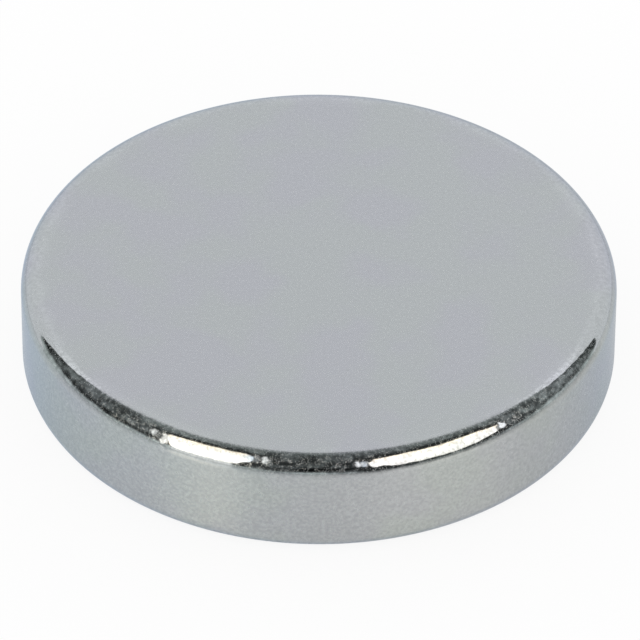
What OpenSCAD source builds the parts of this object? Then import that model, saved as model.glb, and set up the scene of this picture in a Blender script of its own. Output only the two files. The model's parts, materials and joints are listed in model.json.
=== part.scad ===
// Disc magnet: one sintered rare-earth disc, ground flat on both faces, tumbled until its
// edges are round, and then nickel plated all over. The plating is about two hundredths of
// a millimetre thick and follows the blank, so the whole thing is one solid.
//
// The disc stands on its lower face. The origin is at the centre of that face and +Z is
// the disc's axis, which is also the direction it is magnetised in.

/* [Disc] */
// Diameter over the plated rim
disc_d = 16; // [4:0.5:60]
// Thickness from face to face
disc_t = 3; // [1.5:0.25:20]

/* [Edge] */
// Radius that tumbling leaves where each face meets the rim
edge_r = 0.5; // [0.1:0.05:0.7]

/* [Hidden] */

$fn = 180;

// Radius of the rim
rim_r = disc_d / 2;
// Radius of each flat face, out to where its edge starts to turn down
face_r = rim_r - edge_r;
// Height of the straight band of the rim, between the two rounded edges
band_h = disc_t - 2 * edge_r;

// Half of the disc's section, with the axis on the left: a core as wide as the flat faces,
// the straight band of the rim, and a full round that is tangent to both at each edge.
module half_section() {
    square([face_r, disc_t]);
    translate([0, edge_r])
        square([rim_r, band_h]);
    for (edge_z = [edge_r, disc_t - edge_r])
        translate([face_r, edge_z])
            circle(r = edge_r);
}

// The magnet, as its half section turned about the axis
module disc() {
    color("silver")
        rotate_extrude()
            half_section();
}

disc();
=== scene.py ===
import json
import math

import bpy
from mathutils import Euler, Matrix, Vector


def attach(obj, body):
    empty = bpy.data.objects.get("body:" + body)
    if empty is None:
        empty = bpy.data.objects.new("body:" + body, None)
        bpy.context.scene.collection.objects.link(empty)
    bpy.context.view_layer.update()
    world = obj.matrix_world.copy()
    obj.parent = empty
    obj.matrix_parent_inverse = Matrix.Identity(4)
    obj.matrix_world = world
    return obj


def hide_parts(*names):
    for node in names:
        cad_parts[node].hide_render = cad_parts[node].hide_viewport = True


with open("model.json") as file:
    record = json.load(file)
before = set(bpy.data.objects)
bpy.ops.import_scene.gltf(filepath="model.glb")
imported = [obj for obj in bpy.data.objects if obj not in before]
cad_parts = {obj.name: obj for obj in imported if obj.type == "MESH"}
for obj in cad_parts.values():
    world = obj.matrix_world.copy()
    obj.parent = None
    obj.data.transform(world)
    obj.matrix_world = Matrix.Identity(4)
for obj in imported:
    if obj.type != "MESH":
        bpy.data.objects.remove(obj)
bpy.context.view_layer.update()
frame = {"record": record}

# A nickel plated disc magnet lying on a white light table, inside a small studio set:
# a pale card behind it, two soft boxes over its front, and a dark tent round the rest.
#
# Directions in the set are given as the magnet sees them. Azimuth 0 is straight towards
# the camera, along -Y, and it grows to the right, towards +X. Elevation is above the table.

MM = 0.001

# ---------------------------------------------------------------- sizes, from the frame

mounts = {mount["name"]: mount for mount in frame["record"]["mounts"]}
RIM_R = mounts["rim"]["dims"]["r_mm"] * MM
RIM_BAND_H = mounts["rim"]["dims"]["length_mm"] * MM
THICKNESS = mounts["upper_face"]["pos_m"][2] - mounts["lower_face"]["pos_m"][2]
EDGE_R = (THICKNESS - RIM_BAND_H) / 2
FACE_R = RIM_R - EDGE_R

# Mesh fineness: steps round the disc, round each edge, and across each face and the rim
TURN_STEPS = 360
EDGE_STEPS = 24
RIM_STEPS = 6
# Rings of each face, as distances in from where its edge starts to turn down
FACE_INSETS_MM = (0, 0.025, 0.05, 0.075, 0.1, 0.15, 0.3, 0.45, 0.6, 1.2, 3, 5)
FACE_INSETS = [inset * MM for inset in FACE_INSETS_MM] + [FACE_R]

# The tilt of the faces' normals above the horizontal
UPRIGHT = math.pi / 2
# Over this much of its turn each rounded edge still carries the face's ground finish
GROUND_FADE = math.radians(14)
# How much of the ground finish the rim keeps after tumbling
RIM_GROUND = 0.9
# The part of each rounded edge's turn that tumbling has flecked, and how soon that fades in
# and out
FLECKED_FROM = math.radians(24)
FLECKED_TO = math.radians(86)
FLECK_FADE = math.radians(8)
# Width of the ring of painted highlight, a lighter line round the border of each face
HIGHLIGHT_RING_WIDTH = 0.3 * MM
# Tumbling also softens the line where a face meets its rounded edge. The face starts to
# lean there, over this width and by this much, and the rounded edge takes the lean over.
# The powers say how soon it dies away on each. The line keeps this much of the finish.
SOFTENED = 0.1 * MM
SOFT_LEAN = math.radians(5)
FACE_LEAN_POWER = 1.5
EDGE_LEAN_POWER = 6
SOFT_GROUND = 0.85

# ---------------------------------------------------------------- colours

NICKEL_COOL = "#B6BABD"
NICKEL_GREY = "#B6BCBB"
NICKEL_SLANT = "#DAE2EE"
TABLE_WHITE = "#EFEFEF"
TABLE_COOL_SIDE = "#F9FCFF"
TABLE_WARM_SIDE = "#FEFAF6"
LAMP_COOL = "#EBF3FF"
LAMP_WARM = "#FFE8CC"
CARD_WHITE = "#FCFAFE"
TENT_GREY = "#F4FBFA"


def linear(hex_colour):
    """An sRGB hex colour as linear RGBA."""
    out = []
    for start in (1, 3, 5):
        c = int(hex_colour[start : start + 2], 16) / 255
        out.append(c / 12.92 if c <= 0.04045 else ((c + 0.055) / 1.055) ** 2.4)
    return (*out, 1.0)


def add(tree, kind, sockets=None, **settings):
    """Adds a node with its settings, and gives its input sockets a value or a link."""
    node = tree.nodes.new(kind)
    for name, value in settings.items():
        setattr(node, name, value)
    for socket, value in (sockets or {}).items():
        if isinstance(value, bpy.types.NodeSocket):
            tree.links.new(value, node.inputs[socket])
        else:
            node.inputs[socket].default_value = value
    return node


# Sockets of a Mix node, which it numbers apart for numbers and for colours
MIX_A, MIX_B, MIX_RESULT = 2, 3, 0
MIX_COLOUR_A, MIX_COLOUR_B, MIX_COLOUR_RESULT = 6, 7, 2


def new_material(name):
    """A material with an empty node tree, and its output node."""
    material = bpy.data.materials.new(name)
    material.use_nodes = True
    material.node_tree.nodes.clear()
    return material, add(material.node_tree, "ShaderNodeOutputMaterial")


def mark(mesh, name, values):
    """Gives each point of a mesh a number, which the mesh's material reads by its name."""
    mesh.attributes.new(name, "FLOAT", "POINT").data.foreach_set("value", values)


# ---------------------------------------------------------------- the magnet

def edge_lean(tilt):
    """How far the softening leans the surface of a rounded edge at this tilt."""
    return SOFT_LEAN * (tilt / UPRIGHT) ** EDGE_LEAN_POWER


def flecked_share(tilt):
    """How flecked the surface is at this tilt: only the rounded edges are."""
    fade_in = (abs(tilt) - FLECKED_FROM) / FLECK_FADE
    fade_out = (FLECKED_TO - abs(tilt)) / FLECK_FADE
    return max(0.0, min(1.0, fade_in, fade_out))


def magnet_section():
    """Half of the magnet's section, from the middle of its lower face round to the middle
    of its upper one: for each point its radius, its height, the tilt of its outward normal
    above the horizontal, how much of the ground finish it keeps, and how much painted
    highlight it carries round the border of a face."""
    upper_face = []
    for inset in FACE_INSETS:
        soft = max(0.0, 1 - inset / SOFTENED)
        tilt = UPRIGHT - SOFT_LEAN * soft**FACE_LEAN_POWER
        kept = 1 - (1 - SOFT_GROUND) * soft
        # The painted highlight: a lighter ring at the face's border that fades inwards
        painted_highlight = max(0.0, 1 - inset / HIGHLIGHT_RING_WIDTH)
        upper_face.append((FACE_R - inset, THICKNESS, tilt, kept, painted_highlight))
    rim_half = [
        (RIM_R, THICKNESS / 2 + RIM_BAND_H * i / RIM_STEPS, 0.0, RIM_GROUND, 0.0)
        for i in range(RIM_STEPS // 2)
    ]
    edge = []
    for i in range(EDGE_STEPS + 1):
        tilt = UPRIGHT * i / EDGE_STEPS
        from_face = SOFT_GROUND * max(0.0, 1 - (UPRIGHT - tilt) / GROUND_FADE)
        from_rim = RIM_GROUND * max(0.0, 1 - tilt / GROUND_FADE)
        r = FACE_R + EDGE_R * math.cos(tilt)
        z = THICKNESS - EDGE_R + EDGE_R * math.sin(tilt)
        # The painted highlight runs on down the rounded edge as far as the face's finish does.
        edge.append((r, z, tilt - edge_lean(tilt), max(from_face, from_rim), from_face))
    upper_half = rim_half + edge + upper_face[1:]
    lower_half = [
        (r, THICKNESS - z, -tilt, ground, painted_highlight)
        for r, z, tilt, ground, painted_highlight in reversed(upper_half[1:])
    ]
    return lower_half + upper_half


def turned_solid(name, section):
    """The section turned about Z into a closed mesh that carries the section's normals."""
    points, normals, ground, painted_highlight, flecked, along = [], [], [], [], [], []
    rows = []
    length = 0.0
    before = section[0]
    for point in section:
        r, z, tilt, ground_share, painted_highlight_share = point
        length += math.hypot(r - before[0], z - before[1])
        before = point
        row = []
        for step in range(TURN_STEPS if r > 0 else 1):
            a = 2 * math.pi * step / TURN_STEPS
            row.append(len(points))
            points.append((r * math.cos(a), r * math.sin(a), z))
            level = math.cos(tilt) if r > 0 else 0.0
            normals.append((level * math.cos(a), level * math.sin(a), math.sin(tilt)))
            ground.append(ground_share)
            painted_highlight.append(painted_highlight_share)
            flecked.append(flecked_share(tilt))
            along.append(length / MM)
        rows.append(row)
    faces = []
    for low, high in zip(rows, rows[1:]):
        for i in range(TURN_STEPS):
            j = (i + 1) % TURN_STEPS
            if len(low) == 1:
                faces.append((low[0], high[j], high[i]))
            elif len(high) == 1:
                faces.append((low[i], low[j], high[0]))
            else:
                faces.append((low[i], low[j], high[j], high[i]))
    mesh = bpy.data.meshes.new(name)
    mesh.from_pydata(points, [], faces)
    mark(mesh, "ground", ground)
    # How much painted highlight each point carries, for the material to read
    mark(mesh, "painted_highlight", painted_highlight)
    mark(mesh, "flecked", flecked)
    mark(mesh, "section_mm", along)
    mesh.shade_smooth()
    mesh.normals_split_custom_set_from_vertices(normals)
    mesh.update()
    piece = bpy.data.objects.new(name, mesh)
    bpy.context.scene.collection.objects.link(piece)
    return piece


# A noise varies about a half, mostly between these
NOISE_LOW = 0.38
NOISE_HIGH = 0.62
# The plating's thickness drifts this many times in a millimetre
DRIFTS_PER_MM = 0.45
# The grain: real grit is about 0.02 mm, drawn coarser so that it shows. It runs evenly
# between these two values of its noise.
GRAIN_MM = 0.1
GRAIN_LOW = 0.3
GRAIN_HIGH = 0.7
# How much the grain darkens and brightens the rim and the faces, and how rough the faces
# are at its two ends
RIM_GRAIN = 0.085
FACE_GRAIN = 0.05
FACE_POLISHED = 0.23
FACE_ROUGH = 0.29
# Round the border of a face, the painted highlight comes in patches of this size: it
# brightens the grain from this value of their noise up and by up to this share
HIGHLIGHT_PATCH_MM = 1.2
HIGHLIGHT_PATCH_LOW = 0.42
HIGHLIGHT_BRIGHTENS = 0.07
# The flecks of the rounded edges: their size, which is drawn coarser than real so that
# they show, the noise of the dullest and of the brightest, and how much these two differ
# from the nickel round them
FLECK_MM = 0.1
FLECK_LOW = 0.36
FLECK_HIGH = 0.64
FLECK_DARKENS = 0.11
FLECK_BRIGHTENS = 0.26
# The flecks fade out between these two lines across the front of the disc
FLECKS_FULL = -0.62 * RIM_R
FLECKS_END = -0.34 * RIM_R
# The pits: their size, how strongly they gather in the flecks, how rare they are, how soon
# the surface turns from smooth to pitted, and the roughness of both
PIT_MM = 0.02
PIT_CLUSTERING = 0.5
PIT_RARITY = 0.165
PIT_BORDER = 0.03
PIT_SMOOTH = 0.05
PIT_ROUGH = 0.38
# The waves that tumbling leaves: their size round the edge and across it, and their height
WAVE_LENGTH_MM = 0.4
WAVE_WIDTH_MM = 0.15
WAVE_HEIGHT = 0.003 * MM


def nickel_plating():
    """Bright nickel, electroplated over a blank that was ground flat and then tumbled.
    To the eye: the ground faces are even and softly reflecting, a cool grey with a grain
    so fine that it only just shows, and the tumbled edges are mirror-like, but flecked
    and a little wavy, so that what they reflect has ragged borders."""
    material, output = new_material("nickel_plate_ground_and_tumbled")
    tree = material.node_tree
    place = add(tree, "ShaderNodeTexCoord").outputs["Object"]
    place_mm = add(
        tree, "ShaderNodeVectorMath", {0: place, "Scale": 1 / MM}, operation="SCALE"
    ).outputs["Vector"]
    ground = add(tree, "ShaderNodeAttribute", attribute_name="ground").outputs["Fac"]
    along = add(tree, "ShaderNodeAttribute", attribute_name="section_mm").outputs["Fac"]

    # The drift of the plating's thickness tints it a little.
    drift = add(
        tree,
        "ShaderNodeTexNoise",
        {"Vector": place_mm, "Scale": DRIFTS_PER_MM, "Detail": 2.0, "Roughness": 0.5},
    ).outputs["Fac"]
    tint = add(
        tree,
        "ShaderNodeMapRange",
        {"Value": drift, "From Min": NOISE_LOW, "From Max": NOISE_HIGH},
        interpolation_type="SMOOTHSTEP",
    ).outputs["Result"]
    tinted = add(
        tree,
        "ShaderNodeMix",
        {
            "Factor": tint,
            MIX_COLOUR_A: linear(NICKEL_GREY),
            MIX_COLOUR_B: linear(NICKEL_COOL),
        },
        data_type="RGBA",
    ).outputs[MIX_COLOUR_RESULT]

    # The grain of the ground blank
    grain = add(
        tree,
        "ShaderNodeTexNoise",
        {"Vector": place_mm, "Scale": 1 / GRAIN_MM, "Detail": 1.0, "Roughness": 0.5},
    ).outputs["Fac"]
    # Tumbling opens the grain up a little on the rim and the edges.
    contrast = add(
        tree,
        "ShaderNodeMapRange",
        {
            "Value": ground,
            "From Min": RIM_GROUND,
            "From Max": 1.0,
            "To Min": RIM_GRAIN,
            "To Max": FACE_GRAIN,
        },
    ).outputs["Result"]
    darkest = add(
        tree, "ShaderNodeMath", {0: 1.0, 1: contrast}, operation="SUBTRACT"
    ).outputs["Value"]
    brightest = add(tree, "ShaderNodeMath", {0: 1.0, 1: contrast}, operation="ADD").outputs["Value"]
    shade = add(
        tree,
        "ShaderNodeMapRange",
        {
            "Value": grain,
            "From Min": GRAIN_LOW,
            "From Max": GRAIN_HIGH,
            "To Min": darkest,
            "To Max": brightest,
        },
    ).outputs["Result"]
    # A painted highlight brightens the grain round the border of a face, here more and
    # there less.
    painted_highlight = add(tree, "ShaderNodeAttribute", attribute_name="painted_highlight").outputs["Fac"]
    highlight_patches = add(
        tree,
        "ShaderNodeTexNoise",
        {"Vector": place_mm, "Scale": 1 / HIGHLIGHT_PATCH_MM, "Detail": 2.0, "Roughness": 0.6},
    ).outputs["Fac"]
    highlight_adds = add(
        tree,
        "ShaderNodeMapRange",
        {
            "Value": highlight_patches,
            "From Min": HIGHLIGHT_PATCH_LOW,
            "From Max": NOISE_HIGH,
            "To Min": 0.0,
            "To Max": HIGHLIGHT_BRIGHTENS,
        },
    ).outputs["Result"]
    shade_with_highlight = add(
        tree,
        "ShaderNodeMath",
        {0: painted_highlight, 1: highlight_adds, 2: shade},
        operation="MULTIPLY_ADD",
    ).outputs["Value"]
    # Tumbling dulls the nickel of the rounded edges in places and brightens it in others.
    # These flecks fade out towards the back of the disc.
    clusters = add(
        tree,
        "ShaderNodeTexNoise",
        {"Vector": place_mm, "Scale": 1 / FLECK_MM, "Detail": 1.0, "Roughness": 0.5},
    ).outputs["Fac"]
    flecks = add(
        tree,
        "ShaderNodeMapRange",
        {
            "Value": clusters,
            "From Min": FLECK_LOW,
            "From Max": FLECK_HIGH,
            "To Min": -FLECK_DARKENS,
            "To Max": FLECK_BRIGHTENS,
        },
    ).outputs["Result"]
    flecked = add(tree, "ShaderNodeAttribute", attribute_name="flecked").outputs["Fac"]
    to_the_back = add(tree, "ShaderNodeSeparateXYZ", {0: place}).outputs["Y"]
    front_share = add(
        tree,
        "ShaderNodeMapRange",
        {
            "Value": to_the_back,
            "From Min": FLECKS_FULL,
            "From Max": FLECKS_END,
            "To Min": 1.0,
            "To Max": 0.0,
        },
    ).outputs["Result"]
    fleck_share = add(
        tree, "ShaderNodeMath", {0: flecked, 1: front_share}, operation="MULTIPLY"
    ).outputs["Value"]
    brightness = add(
        tree,
        "ShaderNodeMath",
        {0: flecks, 1: fleck_share, 2: shade_with_highlight},
        operation="MULTIPLY_ADD",
    ).outputs["Value"]
    colour = add(
        tree,
        "ShaderNodeVectorMath",
        {0: tinted, "Scale": brightness},
        operation="SCALE",
    ).outputs["Vector"]

    # Tumbling leaves the edges mirror-like but for small pits, which gather in the flecks.
    specks = add(
        tree,
        "ShaderNodeTexNoise",
        {"Vector": place_mm, "Scale": 1 / PIT_MM, "Detail": 0.0},
    ).outputs["Fac"]
    clustered = add(
        tree,
        "ShaderNodeMath",
        {0: clusters, 1: PIT_CLUSTERING, 2: specks},
        operation="MULTIPLY_ADD",
    ).outputs["Value"]
    # The middle of both noises together, and the rarity above it
    pits_begin = 0.5 + 0.5 * PIT_CLUSTERING + PIT_RARITY
    pits = add(
        tree,
        "ShaderNodeMapRange",
        {
            "Value": clustered,
            "From Min": pits_begin,
            "From Max": pits_begin + PIT_BORDER,
            "To Min": PIT_SMOOTH,
            "To Max": PIT_ROUGH,
        },
    ).outputs["Result"]

    face_roughness = add(
        tree,
        "ShaderNodeMapRange",
        {
            "Value": grain,
            "From Min": GRAIN_LOW,
            "From Max": GRAIN_HIGH,
            "To Min": FACE_POLISHED,
            "To Max": FACE_ROUGH,
        },
    ).outputs["Result"]
    roughness = add(
        tree,
        "ShaderNodeMix",
        {"Factor": ground, MIX_A: pits, MIX_B: face_roughness},
        data_type="FLOAT",
    ).outputs[MIX_RESULT]

    # Waves left by tumbling run mostly round the edge.
    round_the_disc = add(
        tree, "ShaderNodeVectorMath", {0: place}, operation="NORMALIZE"
    ).outputs["Vector"]
    round_parts = add(tree, "ShaderNodeSeparateXYZ", {0: round_the_disc})
    unscaled = add(
        tree,
        "ShaderNodeCombineXYZ",
        {"X": round_parts.outputs["X"], "Y": round_parts.outputs["Y"], "Z": along},
    ).outputs["Vector"]
    round_scale = RIM_R / MM / WAVE_LENGTH_MM
    wave_place = add(
        tree,
        "ShaderNodeVectorMath",
        {0: unscaled, 1: (round_scale, round_scale, 1 / WAVE_WIDTH_MM)},
        operation="MULTIPLY",
    ).outputs["Vector"]
    waves = add(
        tree,
        "ShaderNodeTexNoise",
        {"Vector": wave_place, "Scale": 1.0, "Detail": 1.0, "Roughness": 0.5},
    ).outputs["Fac"]
    tumbled = add(tree, "ShaderNodeMath", {0: 1.0, 1: ground}, operation="SUBTRACT").outputs["Value"]
    bumps = add(
        tree,
        "ShaderNodeBump",
        {"Height": waves, "Strength": tumbled, "Distance": WAVE_HEIGHT},
    ).outputs["Normal"]

    shader = add(
        tree,
        "ShaderNodeBsdfPrincipled",
        {
            "Base Color": colour,
            "Metallic": 1.0,
            "Roughness": roughness,
            # Seen at a slant, nickel stays dark and turns bluer instead of whitening.
            "Specular Tint": linear(NICKEL_SLANT),
            "Normal": bumps,
        },
    )
    tree.links.new(shader.outputs["BSDF"], output.inputs["Surface"])
    return material


magnet = turned_solid("plated_disc", magnet_section())
magnet.data.materials.append(nickel_plating())
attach(magnet, "root")
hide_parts("disc")

# ---------------------------------------------------------------- the studio set

CAMERA_ELEVATION = 39.7
CAMERA_ROLL = 0.27
LENS_MM = 400
SENSOR_MM = 36
# Width of the view at the magnet's middle
VIEW_WIDTH = 17.25 * MM
# The camera aims a little to the right of the magnet's middle and below it
AIM_RIGHT = 0.035 * MM
AIM_DOWN = 0.178 * MM
CAMERA_TURN = Euler((math.radians(90 - CAMERA_ELEVATION), 0, 0)).to_matrix()
CAMERA_PLACE = (
    Vector((0, 0, THICKNESS / 2))
    + CAMERA_TURN.col[0] * AIM_RIGHT
    - CAMERA_TURN.col[1] * AIM_DOWN
    + CAMERA_TURN.col[2] * (VIEW_WIDTH * LENS_MM / SENSOR_MM)
)

# How far off each part of the set is, nearest first
GAP_DISTANCE = 0.60
LAMP_DISTANCE = 0.62
FOOT_DISTANCE = 0.63
FRAME_DISTANCE = 0.64
CARD_DISTANCE = 0.70
TENT_DISTANCE = 0.85
# Mesh fineness of the same parts, as columns and rows
GAP_MESH = (2, 20)
BOX_MESH = (60, 48)
FOOT_MESH = (20, 6)
FRAME_MESH = (40, 24)
CARD_MESH = (90, 60)
TENT_MESH = (180, 90)
# The round table
TABLE_R = 1.5
TABLE_CORNERS = 48


def way(azimuth, elevation):
    """The unit vector in a direction of the set, given in degrees."""
    a, e = math.radians(azimuth), math.radians(elevation)
    return Vector((math.sin(a) * math.cos(e), -math.cos(a) * math.cos(e), math.sin(e)))


def mirrored(round_disc, tilt, distance):
    """The point, this far off, that the camera sees mirrored in the rounded edge at this
    azimuth round the disc and this tilt of the edge's surface."""
    middle = way(round_disc, 0) * FACE_R + Vector((0, 0, THICKNESS - EDGE_R))
    place = middle + way(round_disc, tilt) * EDGE_R
    normal = way(round_disc, tilt - math.degrees(edge_lean(math.radians(tilt))))
    back = (CAMERA_PLACE - place).normalized()
    return place + (normal * (2 * normal.dot(back)) - back) * distance


def between(points, x):
    """The values at x on straight lines through (x, value, ...) points, level past both ends."""
    if x <= points[0][0]:
        return points[0][1:]
    for low, high in zip(points, points[1:]):
        if x <= high[0]:
            t = (x - low[0]) / (high[0] - low[0])
            return tuple(a + (b - a) * t for a, b in zip(low[1:], high[1:]))
    return points[-1][1:]


def glowing(name, cool, warm, unevenly=None):
    """A surface that shines by itself: its mesh says how strongly, and how far its colour
    goes from the cool one to the warm one. unevenly(tree, glow) may change the glow."""
    material, output = new_material(name)
    tree = material.node_tree
    glow = add(tree, "ShaderNodeAttribute", attribute_name="glow").outputs["Fac"]
    if unevenly:
        glow = unevenly(tree, glow)
    warmth = add(tree, "ShaderNodeAttribute", attribute_name="warmth").outputs["Fac"]
    colour = add(
        tree,
        "ShaderNodeMix",
        {"Factor": warmth, MIX_COLOUR_A: linear(cool), MIX_COLOUR_B: linear(warm)},
        data_type="RGBA",
    ).outputs[MIX_COLOUR_RESULT]
    light = add(tree, "ShaderNodeEmission", {"Color": colour, "Strength": glow})
    tree.links.new(light.outputs["Emission"], output.inputs["Surface"])
    # The magnet's own reflections find it, so it isn't also sampled as a lamp.
    material.cycles.emission_sampling = "NONE"
    return material


def set_piece(name, fineness, corner, material):
    """A curved card round the magnet. corner(u, v) gives the place, glow and warmth at a
    share u of its width and v of its height. Only shiny surfaces see it, so it is out of
    every camera's way and casts no shadow on the table."""
    columns, rows = fineness
    points, glow, warmth = [], [], []
    for j in range(rows + 1):
        for i in range(columns + 1):
            place, strength, warm = corner(i / columns, j / rows)
            points.append(place)
            glow.append(strength)
            warmth.append(warm)
    faces = []
    for j in range(rows):
        for i in range(columns):
            k = j * (columns + 1) + i
            faces.append((k, k + 1, k + columns + 2, k + columns + 1))
    mesh = bpy.data.meshes.new(name)
    mesh.from_pydata(points, [], faces)
    mark(mesh, "glow", glow)
    mark(mesh, "warmth", warmth)
    card = bpy.data.objects.new(name, mesh)
    card.data.materials.append(material)
    bpy.context.scene.collection.objects.link(card)
    card.visible_camera = False
    card.visible_diffuse = False
    card.visible_shadow = False
    card.visible_transmission = False


def hill(x, middle, width):
    """A bell curve, 1 at its middle."""
    return math.exp(-(((x - middle) / width) ** 2))


def smooth(x, low, high):
    """A soft step, 0 below low and 1 above high."""
    t = min(1.0, max(0.0, (x - low) / (high - low)))
    return t * t * (3 - 2 * t)


# How far up the tent's foot the white light off the table reaches, round the set:
# azimuth and elevation
TENT_FOOT = [
    (-180, 16), (-114, 16.5), (-100, 11.5), (-94, 7), (-80, 6), (-72, 8), (-62, 10), (-30, 8),
    (-18, 6), (-12, 4.5), (-2, 9.5), (9, 5), (15, 2), (20, -3), (30, -2), (40, 1), (62, 1), (70, 4),
    (76, 4), (86, 10.5), (91, 10), (96, 6), (104, 6), (110, 8), (180, 8),
]
# How much the lit foot adds, and over how many degrees it fades, down and up
TENT_FOOT_GLOW = 0.55
TENT_FOOT_FADE = 7
# The tent ends at this elevation, just below the table's top
TENT_BOTTOM = -1
# How strongly the felt shines by itself, and the least that it ever does
TENT_GLOW = 0.13
TENT_DARKEST = 0.01
# A darker ring runs all round it: its elevation, its spread and the change
TENT_RING_ELEVATION = 22
TENT_RING_SPREAD = 8
TENT_RING_ADDS = -0.07
# Light over the pale card: degrees from straight behind, spread, elevation, spread, change
TENT_BACK_LIGHTS = [(0, 26, 54, 6, 0.3), (28, 22, 64, 12, 0.12)]
# Where the tent is lighter or darker still: azimuth, spread, elevation, spread, change
TENT_PATCHES = [
    (-90, 40, 42, 22, 0.05),
    (105, 35, 36, 22, 0.15),
    (-120, 18, 28, 20, 0.075),
    (100, 20, 18, 14, 0.04),
    (0, 30, 60, 14, -0.05),
    (0, 9, 29, 10, -0.09),
    (16, 7, 22, 9, -0.06),
    (-82, 26, 17, 7, -0.04),
]
# How closely the folds follow each other round the disc, and how often one changes upwards
FOLDS_ROUND = 32.0
FOLDS_UP = 5.0
# How much less and more of the light the folds catch. Beyond this glow, where the foot
# is lit, they show no more.
FOLD_DARKENS = 0.5
FOLD_BRIGHTENS = 0.6
FOLDS_SHOW_TO = 0.25


def felt_folds(tree, even):
    """Narrow folds in the tent's felt, which catch more and less of the light. They fan
    out from the camera, as the magnet's rounded edge draws them."""
    place = add(tree, "ShaderNodeTexCoord").outputs["Object"]
    toward = add(tree, "ShaderNodeVectorMath", {0: place}, operation="NORMALIZE").outputs["Vector"]
    # Half way from here to the camera: the way the edge faces where it mirrors this place
    half_way = add(
        tree,
        "ShaderNodeVectorMath",
        {0: toward, 1: tuple(CAMERA_TURN.col[2])},
        operation="ADD",
    ).outputs["Vector"]
    level = add(
        tree, "ShaderNodeVectorMath", {0: half_way, 1: (1.0, 1.0, 0.0)}, operation="MULTIPLY"
    ).outputs["Vector"]
    round_it = add(tree, "ShaderNodeVectorMath", {0: level}, operation="NORMALIZE").outputs["Vector"]
    across = add(
        tree, "ShaderNodeVectorMath", {0: round_it, "Scale": FOLDS_ROUND}, operation="SCALE"
    ).outputs["Vector"]
    facing = add(tree, "ShaderNodeVectorMath", {0: half_way}, operation="NORMALIZE").outputs["Vector"]
    up = add(
        tree,
        "ShaderNodeVectorMath",
        {0: facing, 1: (0.0, 0.0, FOLDS_UP)},
        operation="MULTIPLY",
    ).outputs["Vector"]
    fold_place = add(tree, "ShaderNodeVectorMath", {0: across, 1: up}, operation="ADD").outputs["Vector"]
    folds = add(
        tree,
        "ShaderNodeTexNoise",
        {"Vector": fold_place, "Scale": 1.0, "Detail": 1.0, "Roughness": 0.5},
    ).outputs["Fac"]
    catch = add(
        tree,
        "ShaderNodeMapRange",
        {
            "Value": folds,
            "From Min": NOISE_LOW,
            "From Max": NOISE_HIGH,
            "To Min": -FOLD_DARKENS,
            "To Max": FOLD_BRIGHTENS,
        },
    ).outputs["Result"]
    dim = add(tree, "ShaderNodeMath", {0: even, 1: FOLDS_SHOW_TO}, operation="MINIMUM").outputs["Value"]
    return add(
        tree,
        "ShaderNodeMath",
        {0: dim, 1: catch, 2: even},
        operation="MULTIPLY_ADD",
    ).outputs["Value"]


# The pale card: the azimuths of its left and right ends at each elevation
BACK_CARD_ENDS = [
    (-6, -108, 107), (5, -114, 114), (12, -117.5, 117.5), (19, -120.5, 120.5),
    (25, -122.5, 123), (31, -124, 124.5), (39, -127, 126.5), (44, -129.7, 128.5),
    (47.5, -132.5, 131), (51, -141, 134.5), (53, -147, 138), (55, -155, 150),
]
# How much the card's ends shade the tent beside them, how far off and how widely, and the
# elevation of that shade and its spread
CARD_SHADE = 0.14
CARD_SHADE_OFF = 4
CARD_SHADE_WIDE = 4
CARD_SHADE_ELEVATION = 28
CARD_SHADE_HIGH = 18


def dark_tent():
    """A tent of dark felt all round and overhead. White light off the table catches its
    foot, and light over the top of the pale card catches it behind."""

    def corner(u, v):
        azimuth = -180 + 360 * u
        elevation = TENT_BOTTOM + (90 - TENT_BOTTOM) * v
        reach = between(TENT_FOOT, azimuth)[0]
        unlit = smooth(elevation, reach - TENT_FOOT_FADE, reach + TENT_FOOT_FADE)
        glow = TENT_GLOW + TENT_FOOT_GLOW * (1 - unlit)
        glow += TENT_RING_ADDS * hill(elevation, TENT_RING_ELEVATION, TENT_RING_SPREAD)
        from_behind = 180 - abs(azimuth)
        for middle, wide, height, high, change in TENT_BACK_LIGHTS:
            glow += change * hill(from_behind, middle, wide) * hill(elevation, height, high)
        for end in between(BACK_CARD_ENDS, elevation):
            beside = end - math.copysign(CARD_SHADE_OFF, end)
            shade = hill(azimuth, beside, CARD_SHADE_WIDE)
            glow -= CARD_SHADE * shade * hill(elevation, CARD_SHADE_ELEVATION, CARD_SHADE_HIGH)
        for middle, wide, height, high, change in TENT_PATCHES:
            glow += change * hill(azimuth, middle, wide) * hill(elevation, height, high)
        return way(azimuth, elevation) * TENT_DISTANCE, max(TENT_DARKEST, glow), 0.0

    felt = glowing("dark_tent_felt", TENT_GREY, TENT_GREY, felt_folds)
    set_piece("dark_tent", TENT_MESH, corner, felt)


# How strongly the card shines, how much more it does towards its top, and the elevations
# between which that comes in
CARD_GLOW = 1.01
CARD_TOP_ADDS = 0.18
CARD_BRIGHTENS = (43, 47)
# The elevation of its top straight behind, how much higher it is on both sides and how
# much more than that on the left, and the degrees from straight behind where it rises
CARD_TOP = 51
CARD_SIDES_RISE = 2.6
CARD_SIDES = (5, 18)
CARD_LEFT_RISES = 1.2
CARD_LEFT = (5, 20)
# Its light dies away by this much, from this far below its top to this far above it
CARD_FADE = 1.1
CARD_FADE_BELOW = 2.5
CARD_FADE_ABOVE = 1


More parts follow.
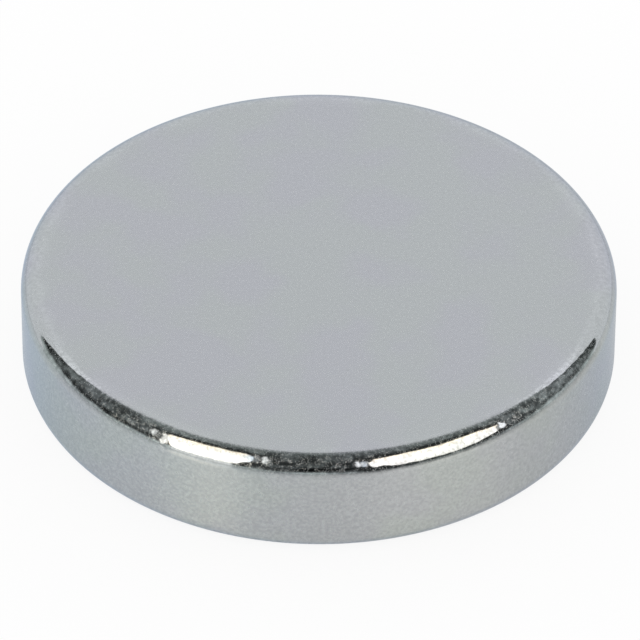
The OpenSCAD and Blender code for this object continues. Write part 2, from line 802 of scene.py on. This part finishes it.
def back_card():
    """A pale card that stands behind the magnet and wraps round it: the upper face mirrors
    it. It is brightest near its top, which dips in the middle."""
    foot, head = BACK_CARD_ENDS[0][0], BACK_CARD_ENDS[-1][0]

    def corner(u, v):
        elevation = foot + (head - foot) * v
        left, right = between(BACK_CARD_ENDS, elevation)
        azimuth = left + (right - 360 - left) * u
        from_behind = 180 + azimuth
        top = CARD_TOP + CARD_SIDES_RISE * smooth(abs(from_behind), *CARD_SIDES)
        if from_behind < 0:
            top += CARD_LEFT_RISES * smooth(-from_behind, *CARD_LEFT)
        glow = CARD_GLOW + CARD_TOP_ADDS * smooth(elevation, *CARD_BRIGHTENS)
        glow -= CARD_FADE * smooth(elevation, top - CARD_FADE_BELOW, top + CARD_FADE_ABOVE)
        return way(azimuth, elevation) * CARD_DISTANCE, glow, 0.0

    set_piece("back_card", CARD_MESH, corner, glowing("pale_card", CARD_WHITE, CARD_WHITE))


# The soft boxes, their black frames, and the gaps beside them where light comes past. Each
# is set out by the glint it makes in the magnet's rounded edge: at each azimuth round the
# disc, the lowest and highest tilt of the edge where it is mirrored.
LEFT_BOX = [
    (-29.9, 44, 58), (-29.5, 35, 61), (-29, 29, 62), (-28, 27.5, 63.5), (-26.5, 27.5, 65),
    (-24, 27.5, 66), (-18, 26.5, 66), (-16.7, 27, 66), (-15.5, 31.5, 65.5), (-14, 38, 64.5),
    (-13.1, 43, 62.5), (-12.6, 47, 60.5), (-12.4, 50, 58),
]
LEFT_FRAME = [
    (-31.6, 36, 62), (-30, 32, 66), (-28, 34, 70), (-24, 40, 73), (-17.5, 40, 73),
    (-16, 25, 73), (-14, 26, 71), (-12.2, 33, 68), (-10.9, 38, 67), (-10.6, 44, 64),
]
LEFT_FOOT = [(-28.8, 19, 29), (-16.4, 19, 29)]
RIGHT_BOX = [
    (9.9, 37, 46), (10.2, 32, 52), (10.7, 31, 57), (11.5, 33, 57), (12.2, 35, 56),
    (13, 34, 58), (14, 30.5, 60), (15.5, 28.5, 61), (18, 28.5, 61.5), (27, 28.5, 62),
    (31.5, 30, 62), (33, 33, 60.5), (34.5, 35.5, 57.5), (36, 36.5, 55.5), (36.6, 39, 53),
]
RIGHT_FRAME = [
    (6.6, 38, 52), (7.1, 27, 60), (9.9, 23, 64), (12, 22, 66), (15, 23.5, 67), (20, 26.3, 70),
    (27, 26.3, 70), (32, 27, 69), (35, 30, 65), (37, 32, 62), (38.6, 34, 60), (39, 41, 56),
]
# How strongly each shines at each elevation
LEFT_GLOW = [(8, 2.0), (20, 2.3), (30, 2.6), (40, 3.0), (50, 2.6), (64, 2.5), (78, 2.2)]
RIGHT_GLOW = [(12, 1.9), (20, 2.1), (30, 2.4), (40, 2.55), (62, 2.55), (71, 2.45)]
# The glow and the warmth of the left box's foot, and of both frames
FOOT_GLOW = 1.45
FOOT_WARMTH = 0.35
FRAME_GLOW = 0.05
FRAME_WARMTH = 0.0
# The lamps stand close behind their cloth and make warm hot spots in it: azimuth,
# elevation, the spread of each, and what it adds
LEFT_HOT_SPOTS = [(-40, 38, 8, 11, 4.2), (-47, 24, 14, 9, 3.0)]
RIGHT_HOT_SPOTS = [(43, 40, 9, 8, 1.0)]
# How warm a box's cloth is, how much warmer at its top, and from what share of its height
BOX_WARMTH = 0.5
TOP_WARMS = 0.3
TOP_WARMS_FROM = 0.5
# How warm a hot spot is for what it adds to the glow, and the most that it can be
HOT_WARMTH = 0.5
HOTTEST = 0.8
# How much dimmer and warmer the cloth's upper border is, and from what share of its height
BORDER_DIMS = 0.75
BORDER_WARMS = 0.1
BORDER_FROM = 0.92
# How much dimmer the left box's cloth is at its cool end, and where that end is
COOL_END_DIMS = 0.3
COOL_END = (0.86, 1.0)
# Each gap: azimuth round the disc, tilt, half its width and half its height, how much its
# tilt climbs across it, then its glow and warmth
LEFT_GAPS = [
    (-30.7, 41.5, 0.74, 17, 3.5, 2.2, 0.5),
    (-33.2, 50, 0.52, 10.5, 4.1, 1.6, 0.4),
    (-10.15, 53.5, 0.45, 11.5, 1.9, 1.8, 0.35),
    (-11.9, 53.5, 0.3, 12, 1.9, 0.6, 0.3),
]
RIGHT_GAPS = [
    (7.8, 45.5, 0.45, 9, -1.5, 2.1, 0.35),
    (8.85, 44.5, 0.38, 9, -1.5, 1.15, 0.1),
    (37.75, 49, 0.55, 10.5, -3.3, 2.1, 0.3),
]


def glint(outline, u, v, distance):
    """The place on a surface, set out by its glint, at a share u of its width and v of its
    height: the outline gives the lowest and highest tilt at each azimuth round the disc."""
    round_disc = outline[0][0] + (outline[-1][0] - outline[0][0]) * u
    low, high = between(outline, round_disc)
    return mirrored(round_disc, low + (high - low) * v, distance)


def gap_corner(round_disc, tilt, half_width, half_height, climb, strength, warmth):
    """The corner function of a gap: an oval, slanting as much as its tilt climbs across it."""

    def corner(u, v):
        up = 2 * v - 1
        side = (2 * u - 1) * half_width * math.sqrt(1 - up * up)
        place = mirrored(round_disc + side, tilt + half_height * up + climb * side, GAP_DISTANCE)
        return place, strength, warmth

    return corner


def soft_box(name, outline, frame_outline, glow, hot_spots, gaps, cool_end=None):
    """One soft box, its black frame, and the gaps beside it. Where a cool end is given,
    the cloth turns cool between those two shares of its width."""

    def front(u, v):
        place = glint(outline, u, v, LAMP_DISTANCE)
        elevation = math.degrees(math.asin(place.z / place.length))
        azimuth = math.degrees(math.atan2(place.x, -place.y))
        hot = sum(
            adds * hill(azimuth, middle, width) * hill(elevation, height, depth)
            for middle, height, width, depth, adds in hot_spots
        )
        border = smooth(v, BORDER_FROM, 1.0)
        cool = smooth(u, *cool_end) if cool_end else 0.0
        strength = between(glow, elevation)[0] + hot
        strength *= (1 - BORDER_DIMS * border) * (1 - COOL_END_DIMS * cool)
        warmth = BOX_WARMTH + TOP_WARMS * smooth(v, TOP_WARMS_FROM, 1.0)
        warmth = max(warmth, min(HOTTEST, HOT_WARMTH * hot))
        return place, strength, warmth * (1 - cool) + BORDER_WARMS * border

    def frame_front(u, v):
        return glint(frame_outline, u, v, FRAME_DISTANCE), FRAME_GLOW, FRAME_WARMTH

    cloth = glowing(name + "_front", LAMP_COOL, LAMP_WARM)
    black = glowing(name + "_frame", TENT_GREY, TENT_GREY)
    light = glowing(name + "_gap_light", LAMP_COOL, LAMP_WARM)
    set_piece(name, BOX_MESH, front, cloth)
    set_piece(name + "_frame", FRAME_MESH, frame_front, black)
    for number, gap in enumerate(gaps, 1):
        set_piece(f"{name}_gap_{number}", GAP_MESH, gap_corner(*gap), light)


def box_foot():
    """The left box stands on a pale skirt that its lamp lights dimly."""

    def corner(u, v):
        return glint(LEFT_FOOT, u, v, FOOT_DISTANCE), FOOT_GLOW, FOOT_WARMTH

    skirt = glowing("pale_skirt", LAMP_COOL, LAMP_WARM)
    set_piece("left_soft_box_foot", FOOT_MESH, corner, skirt)


# Where light from the front and from both sides spills on the table, and how much it
# adds in the middle; and the radius of each pool
SPILLS = [
    ((-15 * MM, -17 * MM, 0.0), 0.45),
    ((15 * MM, -17 * MM, 0.0), 0.3),
    ((-14 * MM, -2 * MM, 0.0), 0.1),
    ((14 * MM, -2 * MM, 0.0), 0.07),
]
SPILL_R = 15 * MM
# The share of the table's white that is its own light, close to the magnet and from where
# the magnet's shadow ends
OWN_LIGHT_NEAR = 0.9
OWN_LIGHT_FAR = 1.0
SHADOW_ENDS = 3 * RIM_R
# How much of that is left in front of the magnet, as shiny things show it
TENT_SHADES = 0.565
# The matt sheet's sheen
SHEEN_ROUGHNESS = 0.13
SHEEN_IOR = 1.4


def light_table():
    """A white acrylic sheet, matt on top: a soft sheen at a low angle, and white to the
    eye from anywhere, with the magnet's soft shadow where it stands."""
    material, output = new_material("white_acrylic_matt_sheet")
    tree = material.node_tree
    matt = add(tree, "ShaderNodeBsdfDiffuse", {"Color": linear(TABLE_WHITE)}).outputs["BSDF"]
    place = add(tree, "ShaderNodeTexCoord").outputs["Object"]
    place_parts = add(tree, "ShaderNodeSeparateXYZ", {0: place})
    path = add(tree, "ShaderNodeLightPath")
    # The light from the left is a little cooler than from the right, as shiny things show.
    to_the_right = add(
        tree,
        "ShaderNodeMapRange",
        {"Value": place_parts.outputs["X"], "From Min": -RIM_R, "From Max": RIM_R / 2},
        interpolation_type="SMOOTHSTEP",
    ).outputs["Result"]
    sides = add(
        tree,
        "ShaderNodeMix",
        {
            "Factor": to_the_right,
            MIX_COLOUR_A: linear(TABLE_COOL_SIDE),
            MIX_COLOUR_B: linear(TABLE_WARM_SIDE),
        },
        data_type="RGBA",
    ).outputs[MIX_COLOUR_RESULT]
    seen_colour = add(
        tree,
        "ShaderNodeMix",
        {
            "Factor": path.outputs["Is Glossy Ray"],
            MIX_COLOUR_A: linear("#FFFFFF"),
            MIX_COLOUR_B: sides,
        },
        data_type="RGBA",
    ).outputs[MIX_COLOUR_RESULT]
    white = add(
        tree, "ShaderNodeEmission", {"Color": seen_colour, "Strength": 1.0}
    ).outputs["Emission"]
    # White of itself to the camera and to shiny things, all of it beyond the shadow's reach
    reach = add(tree, "ShaderNodeVectorMath", {0: place}, operation="LENGTH").outputs["Value"]
    own_light = add(
        tree,
        "ShaderNodeMapRange",
        {
            "Value": reach,
            "From Min": RIM_R,
            "From Max": SHADOW_ENDS,
            "To Min": OWN_LIGHT_NEAR,
            "To Max": OWN_LIGHT_FAR,
        },
        interpolation_type="SMOOTHSTEP",
    ).outputs["Result"]
    # The tent's front shades the table there, as shiny things show it.
    tent_shade = add(
        tree,
        "ShaderNodeMapRange",
        {
            "Value": place_parts.outputs["Y"],
            "From Min": -RIM_R,
            "From Max": RIM_R,
            "To Min": TENT_SHADES,
            "To Max": 1.0,
        },
        interpolation_type="SMOOTHSTEP",
    ).outputs["Result"]
    # Light spills on it in soft pools.
    lit = tent_shade
    for spill_place, spill_adds in SPILLS:
        away = add(
            tree, "ShaderNodeVectorMath", {0: place, 1: spill_place}, operation="DISTANCE"
        ).outputs["Value"]
        spill = add(
            tree,
            "ShaderNodeMapRange",
            {
                "Value": away,
                "From Min": 0.0,
                "From Max": SPILL_R,
                "To Min": spill_adds,
                "To Max": 0.0,
            },
            interpolation_type="SMOOTHSTEP",
        ).outputs["Result"]
        lit = add(tree, "ShaderNodeMath", {0: lit, 1: spill}, operation="ADD").outputs["Value"]
    glossy = add(
        tree, "ShaderNodeMath", {0: path.outputs["Is Glossy Ray"], 1: lit}, operation="MULTIPLY"
    ).outputs["Value"]
    camera_or_gloss = add(
        tree,
        "ShaderNodeMath",
        {0: path.outputs["Is Camera Ray"], 1: glossy},
        operation="MAXIMUM",
    ).outputs["Value"]
    seen = add(
        tree,
        "ShaderNodeMath",
        {0: camera_or_gloss, 1: path.outputs["Is Transmission Ray"]},
        operation="MAXIMUM",
    ).outputs["Value"]
    share = add(tree, "ShaderNodeMath", {0: own_light, 1: seen}, operation="MULTIPLY").outputs["Value"]
    body = add(tree, "ShaderNodeMixShader", {0: share, 1: matt, 2: white}).outputs["Shader"]
    sheen = add(tree, "ShaderNodeBsdfAnisotropic", {"Roughness": SHEEN_ROUGHNESS}).outputs["BSDF"]
    fresnel = add(tree, "ShaderNodeFresnel", {"IOR": SHEEN_IOR}).outputs["Fac"]
    not_camera = add(
        tree,
        "ShaderNodeMath",
        {0: 1.0, 1: path.outputs["Is Camera Ray"]},
        operation="SUBTRACT",
    ).outputs["Value"]
    sheen_share = add(tree, "ShaderNodeMath", {0: fresnel, 1: not_camera}, operation="MULTIPLY")
    surface = add(
        tree, "ShaderNodeMixShader", {0: sheen_share.outputs["Value"], 1: body, 2: sheen}
    )
    tree.links.new(surface.outputs["Shader"], output.inputs["Surface"])

    mesh = bpy.data.meshes.new("light_table")
    ring = []
    for corner in range(TABLE_CORNERS):
        a = 2 * math.pi * corner / TABLE_CORNERS
        ring.append((TABLE_R * math.cos(a), TABLE_R * math.sin(a), 0.0))
    mesh.from_pydata(ring, [], [tuple(range(TABLE_CORNERS))])
    table = bpy.data.objects.new("light_table", mesh)
    mesh.materials.append(material)
    bpy.context.scene.collection.objects.link(table)


def white_room():
    """Even white light from all round, which is also the background."""
    world = bpy.data.worlds.new("white_room")
    bpy.context.scene.world = world
    world.use_nodes = True
    tree = world.node_tree
    tree.nodes.clear()
    light = add(tree, "ShaderNodeBackground", {"Color": (1.0, 1.0, 1.0, 1.0), "Strength": 1.0})
    output = add(tree, "ShaderNodeOutputWorld")
    tree.links.new(light.outputs["Background"], output.inputs["Surface"])
    # The dark tent is seen only by shiny surfaces, so the room isn't sampled as a lamp
    # through it.
    world.cycles.sampling_method = "NONE"


dark_tent()
back_card()
soft_box("left_soft_box", LEFT_BOX, LEFT_FRAME, LEFT_GLOW, LEFT_HOT_SPOTS, LEFT_GAPS, COOL_END)
soft_box("right_soft_box", RIGHT_BOX, RIGHT_FRAME, RIGHT_GLOW, RIGHT_HOT_SPOTS, RIGHT_GAPS)
box_foot()
light_table()
white_room()

# ---------------------------------------------------------------- the camera

def long_lens_camera():
    """A long lens that looks down on the magnet at a slant, with almost no perspective."""
    data = bpy.data.cameras.new("camera")
    data.sensor_width = SENSOR_MM
    data.lens = LENS_MM
    data.clip_start = 0.01
    data.clip_end = 10
    camera = bpy.data.objects.new("camera", data)
    bpy.context.scene.collection.objects.link(camera)
    roll = Euler((0, 0, math.radians(CAMERA_ROLL))).to_matrix()
    camera.location = CAMERA_PLACE
    camera.rotation_euler = (CAMERA_TURN @ roll).to_euler()
    bpy.context.scene.camera = camera


long_lens_camera()
bpy.context.scene.view_settings.view_transform = "Standard"
